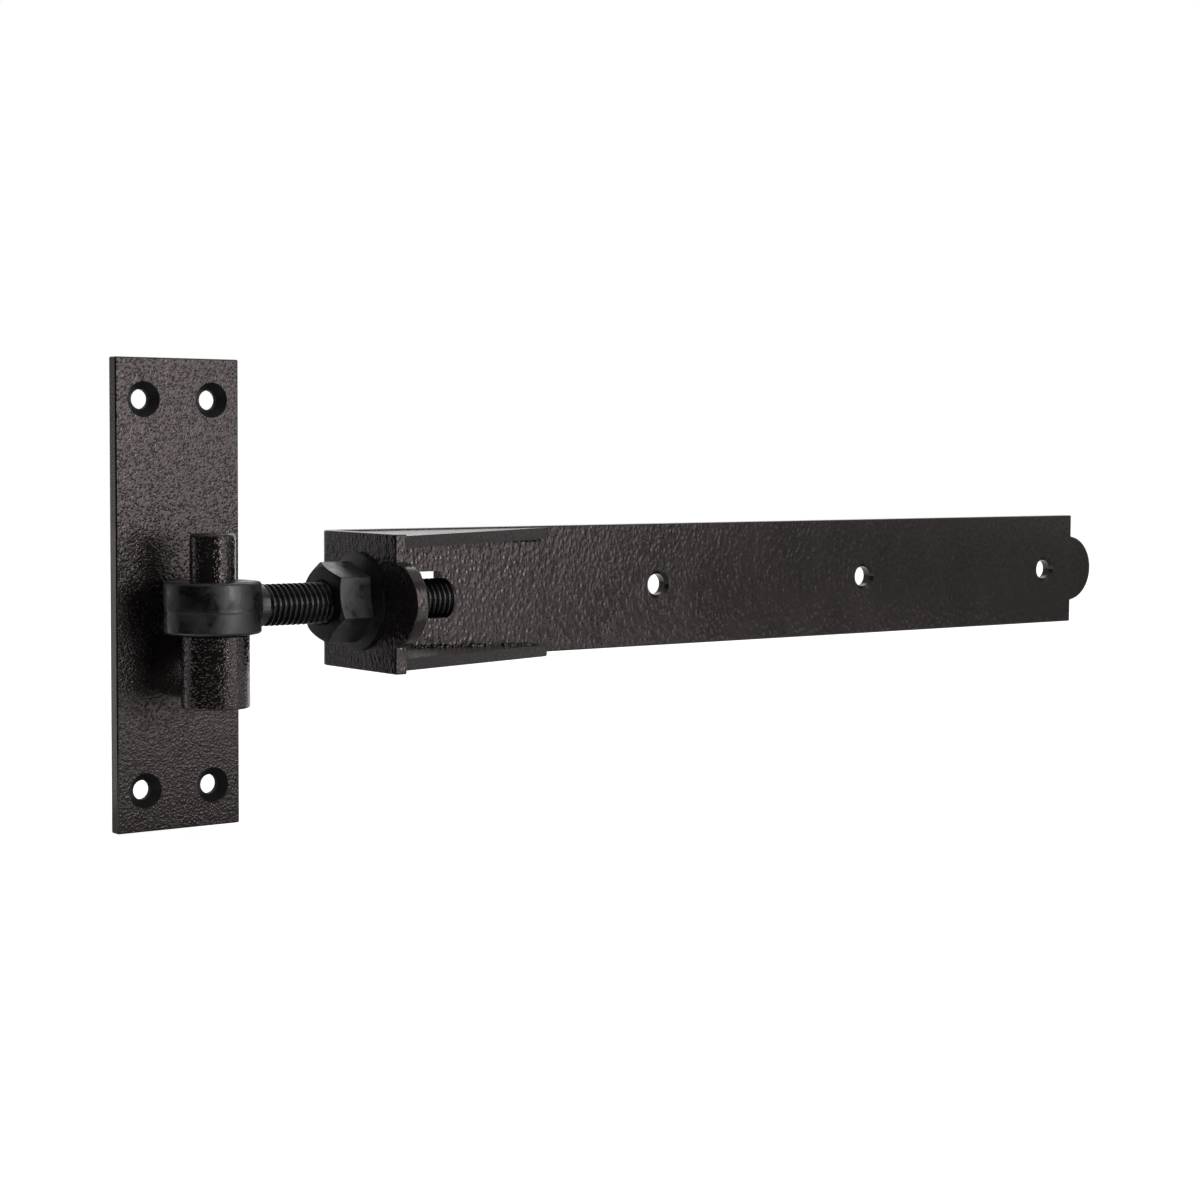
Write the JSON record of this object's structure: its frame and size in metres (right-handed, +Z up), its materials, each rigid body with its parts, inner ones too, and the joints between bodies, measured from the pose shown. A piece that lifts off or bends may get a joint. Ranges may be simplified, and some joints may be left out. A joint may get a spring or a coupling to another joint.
{
  "type": "hook and band hinge",
  "caption": "Adjustable gate hinge: a plate with an upright pin, an eye bolt that turns on it, and a bent strap band clamped on the bolt by flange nuts.",
  "frame": {"origin": "centre of the hook plate's back face, which lies against the post", "axes": "+X runs along the closed band, away from the hook; +Y goes into the post; +Z is up, along the pin"},
  "size_m": [0.4089, 0.0538, 0.134],
  "materials": {
    "hammered_paint": "glossy brown-black paint with a fine hammered texture",
    "black_steel": "smooth satin black coating on forged and machined steel"
  },
  "bodies": {
    "hook": {"hook_plate": "hammered_paint", "hook_pin": "hammered_paint"},
    "eye_bolt": {"eye_bolt": "black_steel"},
    "band": {"band_strap": "hammered_paint", "top_gusset": "hammered_paint", "bottom_gusset": "hammered_paint"},
    "outer_nut": {"outer_nut": "black_steel"},
    "inner_nut": {"inner_nut": "black_steel"}
  },
  "joints": [
    {"name": "band_swing", "type": "hinge", "parent": "hook", "child": "eye_bolt", "pos_m": [0, -0.0235, 0], "axis": [0, 0, 1], "range_deg": [-170, 0]},
    {"name": "band_adjust", "type": "slide", "parent": "eye_bolt", "child": "band", "axis": [1, 0, 0], "range_m": [-0.01575, 0.014]},
    {"name": "outer_nut_turn", "type": "hinge", "parent": "band", "child": "outer_nut", "pos_m": [0.048, -0.0235, -0.0025], "axis": [1, 0, 0], "range_deg": [-3241, 2881]},
    {"name": "inner_nut_turn", "type": "hinge", "parent": "band", "child": "inner_nut", "pos_m": [0.052, -0.0235, -0.0025], "axis": [1, 0, 0], "range_deg": [-3241, 2881]}
  ],
  "couplings": [
    {"joint": "outer_nut_turn", "follows": "band_adjust", "rad_per_m": 3590.4},
    {"joint": "inner_nut_turn", "follows": "band_adjust", "rad_per_m": 3590.4}
  ]
}
